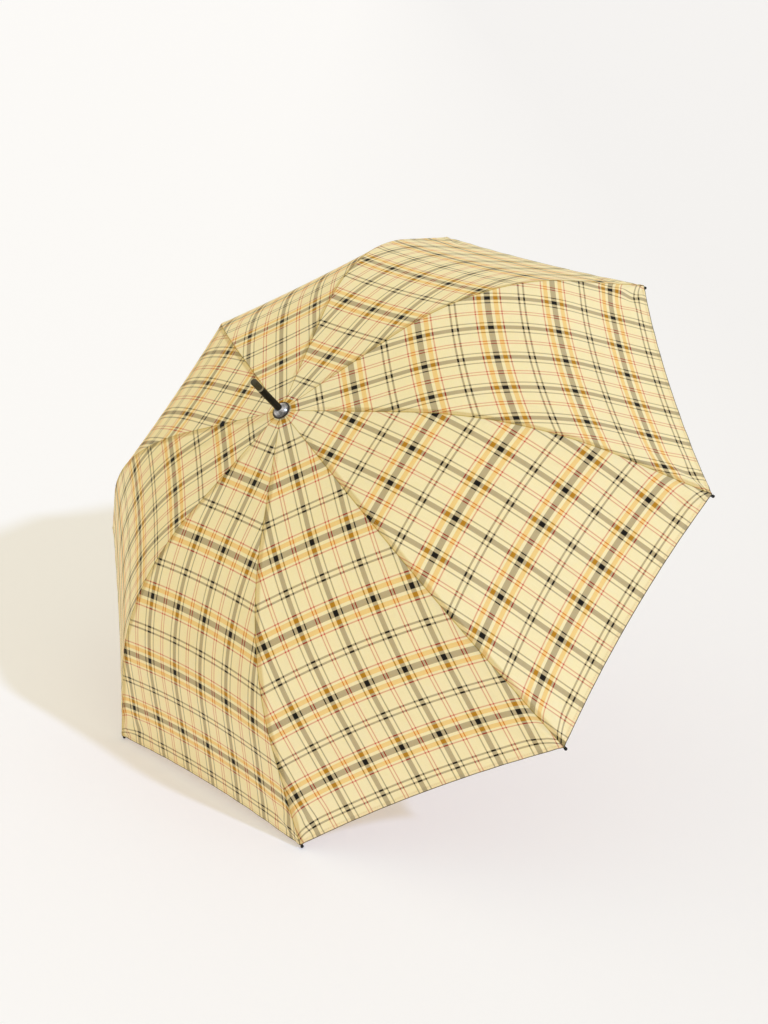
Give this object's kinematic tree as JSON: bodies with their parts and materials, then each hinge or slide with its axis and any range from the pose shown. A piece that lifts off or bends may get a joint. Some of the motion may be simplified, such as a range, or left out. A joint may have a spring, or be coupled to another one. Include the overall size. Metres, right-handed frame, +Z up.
{
  "type": "stick umbrella",
  "caption": "Open stick umbrella: cloth canopy on bent channel ribs and stretchers, sliding runner with catches, tube shaft, ferrule and crook handle.",
  "frame": {"origin": "middle of the straight hand grip, on the shaft's axis", "axes": "+Z up the shaft to the ferrule, +X along the first rib, +Y the way the crook points"},
  "size_m": [0.9752, 0.9752, 0.8495],
  "materials": {
    "shaft_steel": "satin plated tube",
    "black_lacquer": "gloss black lacquer",
    "dull_brass": "dull aged",
    "bright_cap": "polished",
    "dark_washer": "satin",
    "notch_brass": "satin",
    "bare_steel": "bright drawn",
    "runner_nylon": "moulded",
    "handle_wood": "polished bent wood",
    "rib_steel": "black lacquer",
    "tip_black": "moulded",
    "canopy_cloth": "woven check"
  },
  "bodies": {
    "shaft": {"shaft": "shaft_steel", "ferrule": "black_lacquer", "ferrule_end": "dull_brass", "dome_cap": "bright_cap", "cap_washer": "dark_washer", "crown_notch": "notch_brass", "crown_wire": "bare_steel", "crown_pin": "bare_steel", "runner_stop": "bare_steel", "catch_pins": "bare_steel", "handle": "handle_wood", "handle_collar": "bright_cap"},
    "runner": {"runner": "runner_nylon", "runner_wire": "bare_steel"},
    "top_catch": {"top_catch": "bare_steel"},
    "bottom_catch": {"bottom_catch": "bare_steel"},
    "rib_1": {"rib_1": "rib_steel", "rib_tip_1": "tip_black", "canopy_panel_1": "canopy_cloth"},
    "stretcher_1": {"stretcher_1": "rib_steel", "rivet_1": "bare_steel"},
    "rib_2": {"rib_2": "rib_steel", "rib_tip_2": "tip_black", "canopy_panel_2": "canopy_cloth"},
    "stretcher_2": {"stretcher_2": "rib_steel", "rivet_2": "bare_steel"},
    "rib_3": {"rib_3": "rib_steel", "rib_tip_3": "tip_black", "canopy_panel_3": "canopy_cloth"},
    "stretcher_3": {"stretcher_3": "rib_steel", "rivet_3": "bare_steel"},
    "rib_4": {"rib_4": "rib_steel", "rib_tip_4": "tip_black", "canopy_panel_4": "canopy_cloth"},
    "stretcher_4": {"stretcher_4": "rib_steel", "rivet_4": "bare_steel"},
    "rib_5": {"rib_5": "rib_steel", "rib_tip_5": "tip_black", "canopy_panel_5": "canopy_cloth"},
    "stretcher_5": {"stretcher_5": "rib_steel", "rivet_5": "bare_steel"},
    "rib_6": {"rib_6": "rib_steel", "rib_tip_6": "tip_black", "canopy_panel_6": "canopy_cloth"},
    "stretcher_6": {"stretcher_6": "rib_steel", "rivet_6": "bare_steel"},
    "rib_7": {"rib_7": "rib_steel", "rib_tip_7": "tip_black", "canopy_panel_7": "canopy_cloth"},
    "stretcher_7": {"stretcher_7": "rib_steel", "rivet_7": "bare_steel"},
    "rib_8": {"rib_8": "rib_steel", "rib_tip_8": "tip_black", "canopy_panel_8": "canopy_cloth"},
    "stretcher_8": {"stretcher_8": "rib_steel", "rivet_8": "bare_steel"}
  },
  "joints": [
    {"name": "runner_slide", "type": "slide", "parent": "shaft", "child": "runner", "axis": [0, 0, 1], "range_m": [-0.33754, 0], "deforming": ["canopy_panel_1", "canopy_panel_2", "canopy_panel_3", "canopy_panel_4", "canopy_panel_5", "canopy_panel_6", "canopy_panel_7", "canopy_panel_8", "top_catch", "bottom_catch"]},
    {"name": "rib_1_hinge", "type": "hinge", "parent": "shaft", "child": "rib_1", "pos_m": [0.00872, 0, 0.69], "axis": [0, 1, 0], "range_deg": [0, 58.86]},
    {"name": "stretcher_1_hinge", "type": "hinge", "parent": "rib_1", "child": "stretcher_1", "pos_m": [0.2303, 0, 0.64678], "axis": [0, 1, 0], "range_deg": [-117.72, 0]},
    {"name": "rib_2_hinge", "type": "hinge", "parent": "shaft", "child": "rib_2", "pos_m": [0.00617, -0.00617, 0.69], "axis": [0.7071, 0.7071, 0], "range_deg": [0, 58.86]},
    {"name": "stretcher_2_hinge", "type": "hinge", "parent": "rib_2", "child": "stretcher_2", "pos_m": [0.16285, -0.16285, 0.64678], "axis": [0.7071, 0.7071, 0], "range_deg": [-117.72, 0]},
    {"name": "rib_3_hinge", "type": "hinge", "parent": "shaft", "child": "rib_3", "pos_m": [0, -0.00872, 0.69], "axis": [1, 0, 0], "range_deg": [0, 58.86]},
    {"name": "stretcher_3_hinge", "type": "hinge", "parent": "rib_3", "child": "stretcher_3", "pos_m": [0, -0.2303, 0.64678], "axis": [1, 0, 0], "range_deg": [-117.72, 0]},
    {"name": "rib_4_hinge", "type": "hinge", "parent": "shaft", "child": "rib_4", "pos_m": [-0.00617, -0.00617, 0.69], "axis": [0.7071, -0.7071, 0], "range_deg": [0, 58.86]},
    {"name": "stretcher_4_hinge", "type": "hinge", "parent": "rib_4", "child": "stretcher_4", "pos_m": [-0.16285, -0.16285, 0.64678], "axis": [0.7071, -0.7071, 0], "range_deg": [-117.72, 0]},
    {"name": "rib_5_hinge", "type": "hinge", "parent": "shaft", "child": "rib_5", "pos_m": [-0.00872, 0, 0.69], "axis": [0, -1, 0], "range_deg": [0, 58.86]},
    {"name": "stretcher_5_hinge", "type": "hinge", "parent": "rib_5", "child": "stretcher_5", "pos_m": [-0.2303, 0, 0.64678], "axis": [0, -1, 0], "range_deg": [-117.72, 0]},
    {"name": "rib_6_hinge", "type": "hinge", "parent": "shaft", "child": "rib_6", "pos_m": [-0.00617, 0.00617, 0.69], "axis": [-0.7071, -0.7071, 0], "range_deg": [0, 58.86]},
    {"name": "stretcher_6_hinge", "type": "hinge", "parent": "rib_6", "child": "stretcher_6", "pos_m": [-0.16285, 0.16285, 0.64678], "axis": [-0.7071, -0.7071, 0], "range_deg": [-117.72, 0]},
    {"name": "rib_7_hinge", "type": "hinge", "parent": "shaft", "child": "rib_7", "pos_m": [0, 0.00872, 0.69], "axis": [-1, 0, 0], "range_deg": [0, 58.86]},
    {"name": "stretcher_7_hinge", "type": "hinge", "parent": "rib_7", "child": "stretcher_7", "pos_m": [0, 0.2303, 0.64678], "axis": [-1, 0, 0], "range_deg": [-117.72, 0]},
    {"name": "rib_8_hinge", "type": "hinge", "parent": "shaft", "child": "rib_8", "pos_m": [0.00617, 0.00617, 0.69], "axis": [-0.7071, 0.7071, 0], "range_deg": [0, 58.86]},
    {"name": "stretcher_8_hinge", "type": "hinge", "parent": "rib_8", "child": "stretcher_8", "pos_m": [0.16285, 0.16285, 0.64678], "axis": [-0.7071, 0.7071, 0], "range_deg": [-117.72, 0]},
    {"name": "top_catch_press", "type": "hinge", "parent": "shaft", "child": "top_catch", "pos_m": [0, 0, 0.53226], "axis": [-0.3827, 0.9239, 0], "range_deg": [-8.75, 0], "stiffness_Nm_per_rad": 0.15},
    {"name": "bottom_catch_press", "type": "hinge", "parent": "shaft", "child": "bottom_catch", "pos_m": [0, 0, 0.25432], "axis": [-0.3827, 0.9239, 0], "range_deg": [0, 8.75], "stiffness_Nm_per_rad": 0.15}
  ],
  "couplings": [
    {"joint": "rib_1_hinge", "follows": "runner_slide", "rad_per_m": -3.043},
    {"joint": "stretcher_1_hinge", "follows": "runner_slide", "rad_per_m": 6.086},
    {"joint": "rib_2_hinge", "follows": "runner_slide", "rad_per_m": -3.043},
    {"joint": "stretcher_2_hinge", "follows": "runner_slide", "rad_per_m": 6.086},
    {"joint": "rib_3_hinge", "follows": "runner_slide", "rad_per_m": -3.043},
    {"joint": "stretcher_3_hinge", "follows": "runner_slide", "rad_per_m": 6.086},
    {"joint": "rib_4_hinge", "follows": "runner_slide", "rad_per_m": -3.043},
    {"joint": "stretcher_4_hinge", "follows": "runner_slide", "rad_per_m": 6.086},
    {"joint": "rib_5_hinge", "follows": "runner_slide", "rad_per_m": -3.043},
    {"joint": "stretcher_5_hinge", "follows": "runner_slide", "rad_per_m": 6.086},
    {"joint": "rib_6_hinge", "follows": "runner_slide", "rad_per_m": -3.043},
    {"joint": "stretcher_6_hinge", "follows": "runner_slide", "rad_per_m": 6.086},
    {"joint": "rib_7_hinge", "follows": "runner_slide", "rad_per_m": -3.043},
    {"joint": "stretcher_7_hinge", "follows": "runner_slide", "rad_per_m": 6.086},
    {"joint": "rib_8_hinge", "follows": "runner_slide", "rad_per_m": -3.043},
    {"joint": "stretcher_8_hinge", "follows": "runner_slide", "rad_per_m": 6.086}
  ]
}
